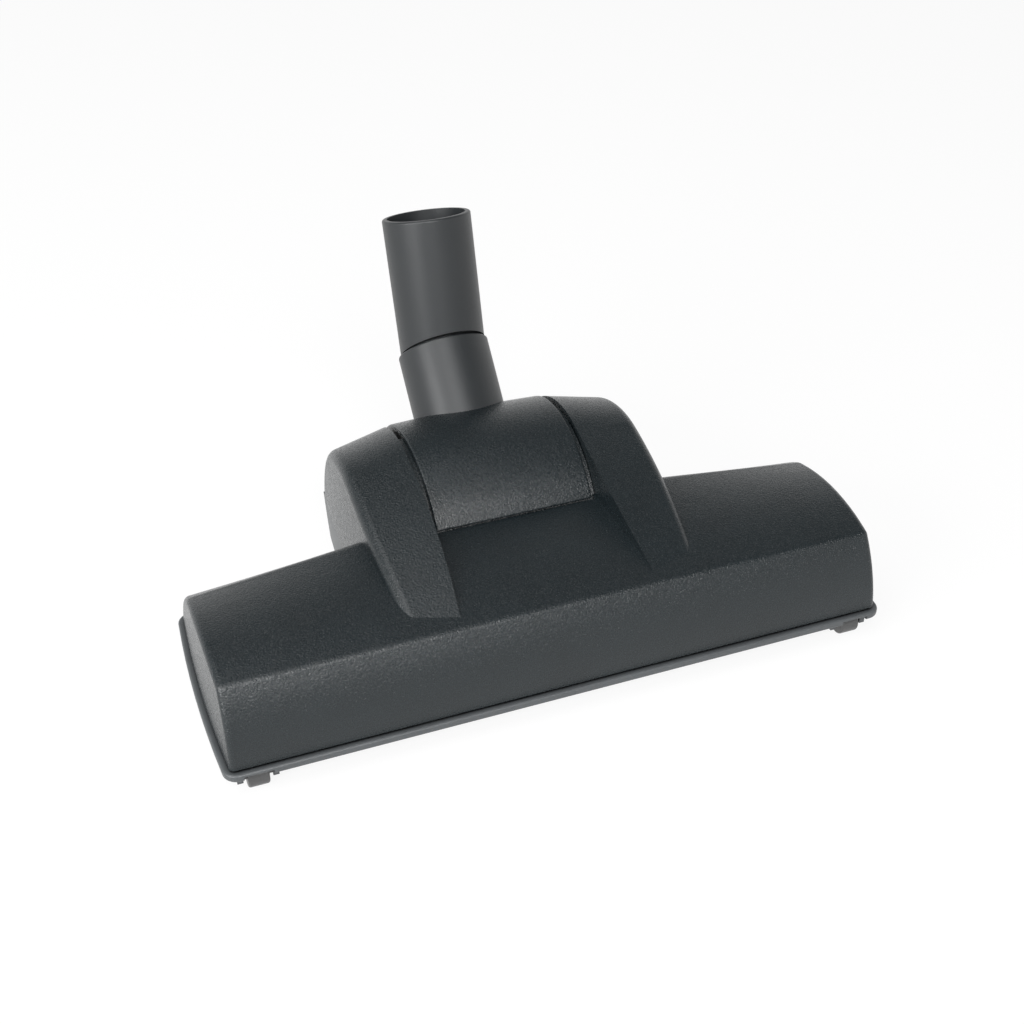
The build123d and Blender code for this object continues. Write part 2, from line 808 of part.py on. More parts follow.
def brush_core(tufts):
    """Moulded brush roller with stub axles and a socket for each tuft."""
    core = across(core_radius, -core_half_length, core_half_length, brush_y, brush_height)
    stubs = across(stub_radius, -stub_end, stub_end, brush_y, brush_height)
    return core + stubs - tufts.solids()


def flanged_pulley(radius, bore, y, height):
    """Flat-belt pulley with a flange on each side, at the belt's place."""
    half = pulley_width / 2
    rim = radius + slide + belt_thickness + slide
    wheel = across(radius, belt_x - half, belt_x + half, y, height)
    for side in (-1, 1):
        edges = sorted((belt_x + side * half, belt_x + side * (half - pulley_flange)))
        wheel = wheel + across(rim, *edges, y, height)
    return wheel - across(bore, belt_x - half, belt_x + half, y, height)


def drive_belt():
    """Flat belt round the brush pulley and the turbine pinion."""

    def loop(extra):
        big = Pos(brush_y, brush_height) * Circle(pulley_radius + slide + extra)
        small = Pos(turbine_y, turbine_height) * Circle(pinion_radius + slide + extra)
        return make_hull(big.edges() + small.edges())

    band = loop(belt_thickness) - loop(0)
    return extrude(Pos(belt_x, 0, 0) * (Plane.YZ * band), amount=belt_width / 2, both=True)


def ring_across(inner, outer, start, end, y, height):
    """A bush along X."""
    return across(outer, start, end, y, height) - across(inner, start, end, y, height)


def bearing_holder(side):
    """Block that slides into the base from below and carries the brush's bush."""
    xs = (holder_start, holder_start + holder_thickness)
    ys = (brush_y - holder_half_width, brush_y + holder_half_width)
    holder = block(xs, ys, (base_bottom + floor_thickness, holder_top))
    holder = fillet(holder.edges().filter_by(Axis.X).group_by(Axis.Z)[-1], holder_half_width / 2)
    holder = holder - across(brush_bush_radius, *xs, brush_y, brush_height)
    return holder if side > 0 else mirror(holder, about=Plane.YZ)


def brush_bush(side):
    """Bush of the brush's stub axle."""
    start = side * holder_start
    end = side * (holder_start + holder_thickness)
    return ring_across(
        stub_radius + running, brush_bush_radius, *sorted((start, end)), brush_y, brush_height
    )


def turbine_wheel():
    """Air turbine: curved blades between two end discs and a middle disc, on a hub."""
    half = turbine_half_width
    root = turbine_hub_radius - blade_thickness / 2
    edge = blade_thickness / 2
    outline = [
        SagittaArc((root, -edge), (turbine_radius, -edge), -blade_bow),
        Line((turbine_radius, -edge), (turbine_radius, edge)),
        SagittaArc((turbine_radius, edge), (root, edge), blade_bow),
        Line((root, edge), (root, -edge)),
    ]
    blade = extrude(Plane.YZ * flat_face(outline), amount=half, both=True)
    wheel = across(turbine_hub_radius, -half, half, 0, 0)
    for number in range(blade_count):
        wheel = wheel + Rot(number * 360 / blade_count, 0, 0) * blade
    thick = turbine_disc_thickness
    for start in (-half, -thick / 2, half - thick):
        wheel = wheel + across(turbine_radius, start, start + thick, 0, 0)
    wheel = wheel - across(shaft_radius, -half, half, 0, 0)
    return Pos(0, turbine_y, turbine_height) * wheel


def turbine_shaft():
    """Steel shaft of the turbine and its pinion."""
    end = belt_x + pulley_width / 2 + shaft_proud
    return across(shaft_radius, shaft_left, end, turbine_y, turbine_height)


def turbine_bush(side):
    """Bush of the turbine shaft, seated in the chamber's side wall."""
    middle = side * (chamber_half_width + chamber_wall / 2)
    start = middle - turbine_bush_width / 2
    end = middle + turbine_bush_width / 2
    inner = shaft_radius + running
    return ring_across(inner, turbine_bush_radius, start, end, turbine_y, turbine_height)


def turbine_cover():
    """Half-round roof over the turbine, with end walls that close over the bushes."""
    outer = chamber_radius + chamber_wall
    half = chamber_half_width + chamber_wall
    roof = across(outer, -half, half, turbine_y, turbine_height)
    inside = chamber_half_width
    roof = roof - across(chamber_radius, -inside, inside, turbine_y, turbine_height)
    roof = roof - across(turbine_bush_radius + running, -half, half, turbine_y, turbine_height)
    below = block((-half, half), (0, tilt_y), (0, turbine_height))
    return roof - below


def neck_elbow():
    """Neck pipe on a barrel with trunnions, windowed to the turbine chamber."""
    inner = barrel_radius - barrel_wall
    half = barrel_half_length
    elbow = across(barrel_radius, -half, half, tilt_y, tilt_height)
    pipe = along(neck_plane, neck_radius, neck_start, neck_length)
    pipe = fillet(last_edge(pipe, neck_plane), neck_edge_radius)
    elbow = elbow + pipe
    elbow = elbow + across(trunnion_radius, -trunnion_end, trunnion_end, tilt_y, tilt_height)
    cover_inner = cover_end_radius - cover_wall
    rib = sector(inner, cover_inner - running, rib_thickness / 2, rib_start_angle, rib_end_angle)
    elbow = elbow + both_sides(Pos(rib_half_spacing, 0, 0) * rib)
    hollow = across(inner, barrel_wall - half, half - barrel_wall, tilt_y, tilt_height)
    throat = along(neck_plane, throat_radius, 0, neck_start + wall)
    bore = along(neck_plane, neck_bore_radius, neck_start, neck_length)
    groove_middle = neck_length - ring_depth
    groove_half = ring_width / 2 + free
    groove = along(
        neck_plane, ring_radius + free, groove_middle - groove_half, groove_middle + groove_half
    )
    window = sector(
        throat_radius, neck_radius, window_half_width, window_start_angle, window_end_angle
    )
    return elbow - hollow - throat - bore - groove - window


def knuckle_cover():
    """Roll-top cover: a crowned band round the tilt axis with a hole for the neck."""
    inner = cover_end_radius - cover_wall
    half = cover_half_length
    start = radians(cover_lip_angle)
    plane = Plane(
        origin=(0, tilt_y, tilt_height), x_dir=(1, 0, 0), z_dir=(0, -sin(start), -cos(start))
    )
    outline = [
        Polyline((-half, cover_end_radius), (-half, inner), (half, inner), (half, cover_end_radius)),
        ThreePointArc((half, cover_end_radius), (0, cover_radius), (-half, cover_end_radius)),
    ]
    axis = Axis((0, tilt_y, tilt_height), (-1, 0, 0))
    sweep = cover_rear_angle - cover_lip_angle
    cover = revolve(plane * flat_face(outline), axis=axis, revolution_arc=sweep)

    def on_outside(edge):
        middle = edge.center()
        return Vector(0, middle.Y - tilt_y, middle.Z - tilt_height).length > inner + cover_wall / 2

    cover = fillet(cover.edges().filter_by(on_outside), cover_edge_radius)
    return cover - along(neck_plane, neck_radius + running, neck_start, neck_length)


def pivot_bush(side):
    """Flanged bush of a trunnion, held between the two shells."""
    start = arm_gap_half - pivot_bush_proud
    bush = ring_across(
        trunnion_radius + running, pivot_bush_radius, start, trunnion_end, tilt_y, tilt_height
    )
    flange_start = arm_gap_half + wall + pivot_flange_radius * tan(radians(arm_draft)) + slide
    flange = ring_across(
        trunnion_radius + running,
        pivot_flange_radius,
        flange_start,
        flange_start + pivot_flange_thickness,
        tilt_y,
        tilt_height,
    )
    bush = bush + flange
    return bush if side > 0 else mirror(bush, about=Plane.YZ)


def swivel_tube():
    """Bent upper tube: a spigot in the neck below and the wand socket above."""
    foot = neck_length + swivel_gap
    spigot_radius = neck_bore_radius - running
    below = along(neck_plane, 3 * mouth_radius, 0, foot)
    pipe = along(tube_plane, tube_foot_radius, -mouth_radius, tube_length, mouth_radius)
    pipe = fillet(last_edge(pipe, tube_plane), mouth_edge_radius) - below
    spigot_start = neck_length - spigot_length
    spigot = along(neck_plane, spigot_radius, spigot_start, foot + wall)
    for depth, width in ((ring_depth, ring_width), (seal_depth, seal_width)):
        middle = neck_length - depth
        half = width / 2 + running
        groove = along(neck_plane, ring_radius, middle - half, middle + half)
        groove = groove - along(neck_plane, ring_groove_radius, middle - half, middle + half)
        spigot = spigot - groove
    throat = along(neck_plane, spigot_bore_radius, spigot_start, foot + wall)
    bore = along(tube_plane, tube_bore_radius, -mouth_radius, tube_length) - below
    socket = along(tube_plane, socket_radius, tube_length - socket_depth, tube_length)
    return pipe + spigot - throat - bore - socket


def swivel_ring():
    """Split ring that keeps the tube in the neck."""
    low = neck_length - ring_depth - ring_width / 2
    ring = along(neck_plane, ring_radius, low, low + ring_width)
    ring = ring - along(neck_plane, ring_groove_radius, low, low + ring_width)
    cut = Pos(0, ring_radius, low + ring_width / 2) * Box(ring_split, ring_radius, 2 * ring_width)
    return ring - neck_plane * cut


def swivel_seal():
    """Felt ring that seals the swivel joint."""
    low = neck_length - seal_depth - seal_width / 2
    seal = along(neck_plane, neck_bore_radius - running, low, low + seal_width)
    return seal - along(neck_plane, ring_groove_radius, low, low + seal_width)


def front_roller(side):
    """Small roller with moulded stub axles."""
    x = side * roller_x
    roller = across(roller_radius, x - roller_half_width, x + roller_half_width, roller_y, roller_radius)
    roller = fillet(roller.edges().filter_by(GeomType.CIRCLE), roller_edge_radius)
    half = roller_half_width + roller_stub_length
    return roller + across(roller_stub_radius, x - half, x + half, roller_y, roller_radius)


def rear_wheel(side):
    """Wheel hub with a dished face on each side."""
    x = side * wheel_x
    hub = across(hub_radius, x - wheel_half_width, x + wheel_half_width, wheel_y, wheel_radius)
    for face in (-1, 1):
        edge = x + face * wheel_half_width
        dish = sorted((edge, edge - face * hub_dish))
        hub = hub - ring_across(hub_boss_radius, hub_radius - wall, *dish, wheel_y, wheel_radius)
    bore = axle_radius + running
    return hub - across(bore, x - wheel_half_width, x + wheel_half_width, wheel_y, wheel_radius)


def rear_tyre(side):
    """Soft tyre on a rear wheel."""
    x = side * wheel_x
    start = x - wheel_half_width
    end = x + wheel_half_width
    tyre = across(wheel_radius, start, end, wheel_y, wheel_radius)
    tyre = fillet(tyre.edges().filter_by(GeomType.CIRCLE), tyre_edge_radius)
    return tyre - across(hub_radius, start, end, wheel_y, wheel_radius)


def rear_axle(side):
    """Steel pin that a rear wheel turns on."""
    x = side * wheel_x
    return across(axle_radius, x - axle_half_length, x + axle_half_length, wheel_y, wheel_radius)


def housing_screws():
    """Screws that hold the upper shell to the base, as separate solids."""
    screws = []
    for x, y in screw_places:
        for side in (-1, 1):
            seat = base_bottom + screw_head_height
            head = upright(screw_head_radius, base_bottom + slide, seat, side * x, y)
            shank = upright(screw_radius, seat, screw_end, side * x, y)
            screws.append(head + shank)
    return Compound(children=screws)


def make_nodes():
    """All pieces by name."""
    tufts = bristle_tufts()
    nodes = {
        "upper_shell": upper_shell(),
        "base_housing": base_housing(),
        "sole_plate": sole_plate(),
        "bristle_tufts": tufts,
        "brush_core": brush_core(tufts),
        "brush_pulley": flanged_pulley(pulley_radius, core_radius, brush_y, brush_height),
        "drive_belt": drive_belt(),
        "turbine_pinion": flanged_pulley(pinion_radius, shaft_radius, turbine_y, turbine_height),
        "turbine_wheel": turbine_wheel(),
        "turbine_shaft": turbine_shaft(),
        "turbine_cover": turbine_cover(),
        "neck_elbow": neck_elbow(),
        "knuckle_cover": knuckle_cover(),
        "swivel_tube": swivel_tube(),
        "swivel_ring": swivel_ring(),
        "swivel_seal": swivel_seal(),
        "housing_screws": housing_screws(),
    }
    pairs = (
        sole_lock,
        bearing_holder,
        brush_bush,
        turbine_bush,
        pivot_bush,
        front_roller,
        rear_wheel,
        rear_tyre,
        rear_axle,
    )
    for make in pairs:
        nodes[make.__name__ + "_left"] = make(-1)
        nodes[make.__name__ + "_right"] = make(1)
    return nodes


os.makedirs("parts", exist_ok=True)
for name, solid in make_nodes().items():
    export_step(Pos(0, -origin_y, 0) * solid, f"parts/{name}.step")
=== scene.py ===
"""Finishes, bristles, screws and studio for an air-driven vacuum floor brush head."""
import json
import math
import random

import bmesh
import bpy
from bpy.props import FloatProperty, FloatVectorProperty, IntProperty, PointerProperty
from mathutils import Matrix, Vector


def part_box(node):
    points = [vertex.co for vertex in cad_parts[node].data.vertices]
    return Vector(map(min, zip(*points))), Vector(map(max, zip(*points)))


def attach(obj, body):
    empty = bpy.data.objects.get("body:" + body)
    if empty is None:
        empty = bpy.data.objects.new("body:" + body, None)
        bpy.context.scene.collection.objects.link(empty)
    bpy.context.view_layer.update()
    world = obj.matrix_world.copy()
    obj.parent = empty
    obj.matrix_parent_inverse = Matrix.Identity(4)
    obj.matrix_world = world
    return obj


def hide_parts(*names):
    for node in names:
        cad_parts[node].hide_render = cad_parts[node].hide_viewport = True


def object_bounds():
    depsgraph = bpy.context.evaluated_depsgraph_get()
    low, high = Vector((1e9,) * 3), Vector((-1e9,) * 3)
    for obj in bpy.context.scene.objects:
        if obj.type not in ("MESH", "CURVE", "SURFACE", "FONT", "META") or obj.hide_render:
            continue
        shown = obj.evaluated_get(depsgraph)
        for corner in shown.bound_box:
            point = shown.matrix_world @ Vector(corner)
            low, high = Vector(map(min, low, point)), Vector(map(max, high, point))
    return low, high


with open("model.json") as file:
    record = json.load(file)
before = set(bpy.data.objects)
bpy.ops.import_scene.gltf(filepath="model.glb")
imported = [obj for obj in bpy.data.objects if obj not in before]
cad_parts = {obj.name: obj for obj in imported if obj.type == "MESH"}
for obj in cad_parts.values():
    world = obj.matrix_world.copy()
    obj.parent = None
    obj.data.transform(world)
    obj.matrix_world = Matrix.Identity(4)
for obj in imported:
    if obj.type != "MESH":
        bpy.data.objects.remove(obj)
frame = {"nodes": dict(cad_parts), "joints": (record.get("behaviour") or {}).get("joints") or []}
cad_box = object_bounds()

bl_info = {
    "name": "Vacuum floor brush head",
    "version": (1, 0, 0),
    "blender": (4, 5, 0),
    "location": "View3D > Sidebar > Brush Head",
    "description": "Finishes, bristles, screws and studio for an air-driven floor brush head",
    "category": "Object",
}

MM = 0.001

# Corners of a carried-over mesh that are closer than this are one corner.
MERGE = 0.001 * MM

# Plastics: refraction, width of the cells of uneven gloss in grains, width of the broad mottle in
# mm, and the range of its sum with the grain.
PLASTIC_IOR = 1.53
CELL_GRAINS = 1.2
MOTTLE_WIDTH = 18
MOTTLE_LOW, MOTTLE_HIGH = 0.7, 1.3

# Painted seam shade: rays that measure how open a place is, and the openness at which the painted
# shade is black or gone.
SEAM_RAYS = 6
SEAM_SHADE_BLACK, SEAM_UNSHADED = 0.4, 0.8

# Metals: how far the gloss strays, and the height of the marks in mm and its share that shows.
METAL_SPREAD = 0.1
METAL_MARKS = 0.02
METAL_RELIEF = 0.4

# Fibres: sides of a fibre, and share of its thickness left at the tip.
FIBRE_SIDES = 5
FIBRE_TIP = 0.6

# Screws: how level their flat ends are, how far past the radius of a head these are looked for,
# the angle over which an edge stays sharp, and the way along which the faces are sorted.
LEVEL = 0.01 * MM
HEAD_MARGIN = 1.01
SHARP_ANGLE = math.radians(40)
SORT_WAY = (1.0, 0.618, 0.382)

# Soft boxes in front, on the left and overhead: name, place and size in metres.
LAMPS = (
    ("key", (-0.22, -1.3, 1.2), (0.9, 0.6)),
    ("side", (-1.3, -0.6, 0.7), (1.0, 0.7)),
    ("top", (-0.65, -0.2, 1.9), (1.6, 1.4)),
)

# Room: rise of a ray where the white wall starts to dim, and where the dim ceiling starts.
WALL_RISE, CEILING_RISE = 0.2, 0.7

# Camera: place in mm, and the way it looks.
CAMERA_PLACE = (-177.2, -504.0, 423.1)
CAMERA_WAY = (0.2813, 0.7563, -0.5908)


def linear(code):
    """Linear colour, with alpha, of an sRGB hex code."""
    shares = [int(code[place:place + 2], 16) / 255 for place in (1, 3, 5)]
    return tuple(s / 12.92 if s <= 0.04045 else ((s + 0.055) / 1.055) ** 2.4 for s in shares) + (1.0,)


def per_mm(size):
    """Texture scale of a pattern whose features are this many millimetres apart."""
    return 1 / (size * MM)


def colour_prop(name, description, code):
    """A colour that a user may change, from its hex code."""
    return FloatVectorProperty(
        name=name, description=description, default=linear(code), size=4, min=0, max=1, subtype="COLOR"
    )


def share_prop(name, description, default):
    """A share from 0 to 1 that a user may change."""
    return FloatProperty(
        name=name, description=description, default=default, min=0, max=1, subtype="FACTOR"
    )


def length_prop(name, description, default):
    """A length that a user may change, in metres."""
    return FloatProperty(
        name=name, description=description, default=default, min=0, unit="LENGTH", subtype="DISTANCE"
    )


def power_prop(name, description, default):
    """The power of a lamp that a user may change, in watts."""
    return FloatProperty(name=name, description=description, default=default, min=0, unit="POWER")


class FinishSettings(bpy.types.PropertyGroup):
    """Colours and grains of the plastics, metals and soft parts."""

    shell_colour: colour_prop("Shell", "Charcoal ABS of the spark-eroded mouldings", "#161d20")
    shell_grain: FloatProperty(
        name="Shell grain", description="Width of the eroded pits in mm", default=0.65
    )
    shell_roughness: share_prop("Shell roughness", "Gloss of the eroded mouldings", 0.27)
    pipe_colour: colour_prop("Pipes", "Charcoal ABS of the satin neck and tube", "#222527")
    pipe_roughness: share_prop("Pipe roughness", "Gloss of the satin mouldings", 0.42)
    base_colour: colour_prop("Base", "Charcoal ABS of the base and sole", "#4a4d4f")
    roller_colour: colour_prop("Rollers", "Acetal of the rollers, hubs and swivel ring", "#4a4a4a")
    drive_colour: colour_prop("Drive", "Black polyamide of the brush and turbine", "#141516")
    bristle_colour: colour_prop("Bristles", "Nylon fibres of the brush", "#17181a")
    rubber_colour: colour_prop("Rubber", "Tyres and belt", "#121212")
    bronze_colour: colour_prop("Bronze", "Sintered bushes", "#8c6a3f")
    steel_colour: colour_prop("Steel", "Shafts, axles and screws", "#9c9ea1")
    felt_colour: colour_prop("Felt", "Seal of the swivel joint", "#4a4a4a")


class BristleSettings(bpy.types.PropertyGroup):
    """Fibres of the brush roll."""

    fibres: IntProperty(name="Fibres", description="Fibres in each tuft", default=26, min=1)
    fibre_radius: length_prop("Fibre radius", "Half the thickness of a fibre", 0.22 * MM)
    uneven: length_prop("Uneven tips", "How much the fibres differ in length", 0.8 * MM)
    seed: IntProperty(name="Seed", description="Order of the fibres in the tufts", default=7)


class ScrewSettings(bpy.types.PropertyGroup):
    """Cross recess of the housing screws."""

    reach: length_prop("Reach", "From the middle of a head to the end of a slot", 2.0 * MM)
    half_width: length_prop("Half width", "Half the width of a slot", 0.45 * MM)
    depth: length_prop("Depth", "Depth of the recess", 1.2 * MM)
    taper: share_prop("Taper", "Share of its size that the recess keeps at its end", 0.6)


class StageSettings(bpy.types.PropertyGroup):
    """Floor, lamps and camera."""

    floor_colour: colour_prop("Floor", "Matt floor", "#f6f6f6")
    floor_size: length_prop("Floor size", "Width of the floor", 8.0)
    floor_white: share_prop("Floor white", "Share of the floor that stays white under a shadow", 0.88)
    key_power: power_prop("Key lamp", "Soft box in front", 17.0)
    side_power: power_prop("Side lamp", "Soft box on the left", 18.0)
    top_power: power_prop("Top lamp", "Soft box overhead", 20.0)
    world_strength: FloatProperty(name="Room", description="Light of the room", default=0.2, min=0)
    lens: FloatProperty(name="Lens", description="Focal length", default=52.4, unit="CAMERA")


def add_node(tree, kind, inputs, **settings):
    """Adds a node; an input is a value, or the output socket that feeds it."""
    node = tree.nodes.new(kind)
    for name, value in settings.items():
        setattr(node, name, value)
    for name, value in inputs.items():
        if isinstance(value, bpy.types.NodeSocket):
            tree.links.new(value, node.inputs[name])
        else:
            node.inputs[name].default_value = value
    return node


def new_material(name):
    """An empty node material and its tree."""
    material = bpy.data.materials.new(name)
    material.use_nodes = True
    material.node_tree.nodes.clear()
    return material, material.node_tree


def seen_rays(tree):
    """One for a ray by which a surface is seen, straight, mirrored or through glass, else zero."""
    path = add_node(tree, "ShaderNodeLightPath", {})
    seen = path.outputs["Is Camera Ray"]
    for kind in ("Is Glossy Ray", "Is Transmission Ray"):
        either = add_node(
            tree, "ShaderNodeMath", {0: seen, 1: path.outputs[kind]}, operation="MAXIMUM"
        )
        seen = either.outputs[0]
    return seen


def moulded_plastic(name, colour, roughness, grain, depth, speckle=0.12, spread=0.10, seam_shade_width=0):
    """Moulded plastic, rubber or felt: a grain in mm, pitted to a depth in mm, with a speckle.

    The gloss strays by spread from cell to cell. Where a seam width is given, shade is painted
    into seams and corners narrower than that many mm.
    """
    material, tree = new_material(name)
    place = add_node(tree, "ShaderNodeTexCoord", {}).outputs["Object"]
    pits = add_node(
        tree, "ShaderNodeTexNoise", {"Vector": place, "Scale": per_mm(grain), "Detail": 2.0}
    )
    cells = add_node(
        tree, "ShaderNodeTexVoronoi", {"Vector": place, "Scale": per_mm(CELL_GRAINS * grain)}
    )
    cloud = add_node(
        tree, "ShaderNodeTexNoise", {"Vector": place, "Scale": per_mm(MOTTLE_WIDTH), "Detail": 3.0}
    )
    bump = add_node(
        tree, "ShaderNodeBump", {"Height": pits.outputs["Fac"], "Strength": 1.0, "Distance": depth * MM}
    )
    mottle = add_node(
        tree, "ShaderNodeMath", {0: pits.outputs["Fac"], 1: cloud.outputs["Fac"]}, operation="ADD"
    )
    tone = add_node(
        tree,
        "ShaderNodeMapRange",
        {
            "Value": mottle.outputs[0],
            "From Min": MOTTLE_LOW,
            "From Max": MOTTLE_HIGH,
            "To Min": 1 - speckle,
            "To Max": 1 + speckle,
        },
    )
    shade = tone.outputs["Result"]
    # Painted shade: the colour darkens in seams and corners as they close in, standing in for shade that
    # falls there.
    if seam_shade_width:
        opening = add_node(
            tree, "ShaderNodeAmbientOcclusion", {"Distance": seam_shade_width * MM}, samples=SEAM_RAYS
        )
        painted_seam_shade = add_node(
            tree,
            "ShaderNodeMapRange",
            {"Value": opening.outputs["AO"], "From Min": SEAM_SHADE_BLACK, "From Max": SEAM_UNSHADED},
        )
        shade = add_node(
            tree, "ShaderNodeMath", {0: shade, 1: painted_seam_shade.outputs["Result"]}, operation="MULTIPLY"
        ).outputs[0]
    # Sockets 6 and 7 are the two colours that the node mixes.
    tinted = add_node(
        tree, "ShaderNodeMix", {"Factor": 1.0, 6: colour, 7: shade}, data_type="RGBA", blend_type="MULTIPLY"
    )
    gloss = add_node(
        tree,
        "ShaderNodeMapRange",
        {"Value": cells.outputs["Color"], "To Min": roughness + spread, "To Max": roughness - spread},
    )
    skin = add_node(
        tree,
        "ShaderNodeBsdfPrincipled",
        {
            "Base Color": tinted.outputs[2],
            "Roughness": gloss.outputs["Result"],
            "IOR": PLASTIC_IOR,
            "Normal": bump.outputs["Normal"],
        },
    )
    add_node(tree, "ShaderNodeOutputMaterial", {"Surface": skin.outputs[0]})
    return material


def worked_metal(name, colour, roughness, grain):
    """Turned, ground or sintered metal: fine marks, a grain in mm apart, that vary the gloss."""
    material, tree = new_material(name)
    place = add_node(tree, "ShaderNodeTexCoord", {}).outputs["Object"]
    marks = add_node(
        tree, "ShaderNodeTexNoise", {"Vector": place, "Scale": per_mm(grain), "Detail": 3.0}
    )
    gloss = add_node(
        tree,
        "ShaderNodeMapRange",
        {
            "Value": marks.outputs["Fac"],
            "To Min": roughness - METAL_SPREAD,
            "To Max": roughness + METAL_SPREAD,
        },
    )
    bump = add_node(
        tree,
        "ShaderNodeBump",
        {"Height": marks.outputs["Fac"], "Strength": METAL_RELIEF, "Distance": METAL_MARKS * MM},
    )
    skin = add_node(
        tree,
        "ShaderNodeBsdfPrincipled",
        {
            "Base Color": colour,
            "Metallic": 1.0,
            "Roughness": gloss.outputs["Result"],
            "Normal": bump.outputs["Normal"],
        },
    )
    add_node(tree, "ShaderNodeOutputMaterial", {"Surface": skin.outputs[0]})
    return material


def finish_nodes(material, *names):
    """Gives carried-over nodes a finish."""
    for name in names:
        node = frame["nodes"][name]
        node.data.materials.clear()
        node.data.materials.append(material)


def pair(name):
    """Names of the left and right node of a pair."""
    return name + "_left", name + "_right"


def merged_shape(name):
    """A bmesh of a carried-over node, with the corners of its faces joined."""
    shape = bmesh.new()
    shape.from_mesh(frame["nodes"][name].data)
    bmesh.ops.remove_doubles(shape, verts=shape.verts, dist=MERGE)
    return shape


def islands(name):
    """Centre, lowest and highest corner of each separate solid of a node, sorted by centre."""
    shape = merged_shape(name)
    # A dictionary keeps its order, so every run gives the same islands.
    left = dict.fromkeys(shape.verts)
    found = []
    while left:
        reached = [left.popitem()[0]]
        for vert in reached:
            for edge in vert.link_edges:
                other = edge.other_vert(vert)
                if other in left:
                    del left[other]
                    reached.append(other)
        corners = [Vector(map(pick, zip(*(vert.co for vert in reached)))) for pick in (min, max)]
        middle = sum((vert.co for vert in reached), Vector()) / len(reached)
        found.append((middle, *corners))
    shape.free()
    return sorted(found, key=lambda island: tuple(island[0]))


def new_object(name, shape, material):
    """Makes an object from a bmesh, which is freed."""
    mesh = bpy.data.meshes.new(name)
    shape.to_mesh(mesh)
    shape.free()
    mesh.materials.append(material)
    made = bpy.data.objects.new(name, mesh)
    bpy.context.scene.collection.objects.link(made)
    return made


def new_piece(name, shape, material, body):
    """Makes a piece from a bmesh, riding on a body."""
    piece = new_object(name, shape, material)
    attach(piece, body)
    return piece


def joint_place(name):
    """Where a joint's axis is."""
    return Vector(next(joint["pos_m"] for joint in frame["joints"] if joint["name"] == name))


class HEAD_OT_textured_shells(bpy.types.Operator):
    """Spark-eroded ABS on the upper shell and the roll-top cover"""

    bl_idname = "brush_head.textured_shells"
    bl_label = "Textured shells"

    def execute(self, context):
        finish = context.scene.brush_head_finish
        # Eroded steel prints fine pits on the moulding, which glint one by one. They are drawn
        # coarser than the real 0.2 mm so that they show.
        eroded = moulded_plastic(
            "spark_eroded_abs",
            finish.shell_colour,
            roughness=finish.shell_roughness,
            grain=finish.shell_grain,
            depth=0.24,
            spread=0.08,
        )
        finish_nodes(eroded, "upper_shell", "knuckle_cover")
        return {"FINISHED"}


class HEAD_OT_satin_pipes(bpy.types.Operator):
    """Satin ABS on the neck and the swivel tube, acetal on their ring and felt on their seal"""

    bl_idname = "brush_head.satin_pipes"
    bl_label = "Satin neck and tube"

    def execute(self, context):
        finish = context.scene.brush_head_finish
        # A fine vapour-blasted mould gives a soft sheen with hardly any grain.
        satin = moulded_plastic(
            "satin_abs",
            finish.pipe_colour,
            roughness=finish.pipe_roughness,
            grain=0.5,
            depth=0.015,
            speckle=0.06,
            spread=0.04,
        )
        finish_nodes(satin, "neck_elbow", "swivel_tube")
        # The ring's acetal looks waxy, and paler than the tubes that it slides in.
        ring = moulded_plastic("acetal_ring", finish.roller_colour, roughness=0.4, grain=0.5, depth=0.01)
        finish_nodes(ring, "swivel_ring")
        # Felt is dull, with a fleck from fibre to fibre.
        felt = moulded_plastic(
            "pressed_felt",
            finish.felt_colour,
            roughness=0.9,
            grain=0.4,
            depth=0.15,
            speckle=0.3,
            spread=0.05,
        )
        finish_nodes(felt, "swivel_seal")
        return {"FINISHED"}


class HEAD_OT_base_plastics(bpy.types.Operator):
    """Satin ABS on the base housing, sole plate and locks"""

    bl_idname = "brush_head.base_plastics"
    bl_label = "Base and sole"

    def execute(self, context):
        finish = context.scene.brush_head_finish
        # The base comes from a plain sanded mould: an even satin with faint marks. Shade is painted
        # into its seams and corners, darker where they are more closed in.
        base = moulded_plastic(
            "sanded_mould_abs",
            finish.base_colour,
            roughness=0.42,
            grain=0.6,
            depth=0.02,
            speckle=0.08,
            spread=0.05,
            seam_shade_width=2.5,
        )
        finish_nodes(base, "base_housing", "sole_plate", *pair("sole_lock"))
        return {"FINISHED"}


class HEAD_OT_rollers(bpy.types.Operator):
    """Acetal rollers and hubs, rubber tyres and steel axles"""

    bl_idname = "brush_head.rollers"
    bl_label = "Rollers and wheels"

    def execute(self, context):
        finish = context.scene.brush_head_finish
        # Acetal rollers have a smooth, waxy sheen.
        acetal = moulded_plastic(
            "moulded_acetal", finish.roller_colour, roughness=0.35, grain=0.6, depth=0.015, spread=0.04
        )
        finish_nodes(acetal, *pair("front_roller"), *pair("rear_wheel"))
        # Tyres are dull and black, with a dusty fleck.
        tyre = moulded_plastic(
            "tyre_rubber", finish.rubber_colour, roughness=0.8, grain=0.4, depth=0.04, speckle=0.2
        )
        finish_nodes(tyre, *pair("rear_tyre"))
        # Ground steel is bright, with marks too fine to tell apart.
        steel = worked_metal("ground_axle_steel", finish.steel_colour, roughness=0.3, grain=0.15)
        finish_nodes(steel, *pair("rear_axle"))
        return {"FINISHED"}


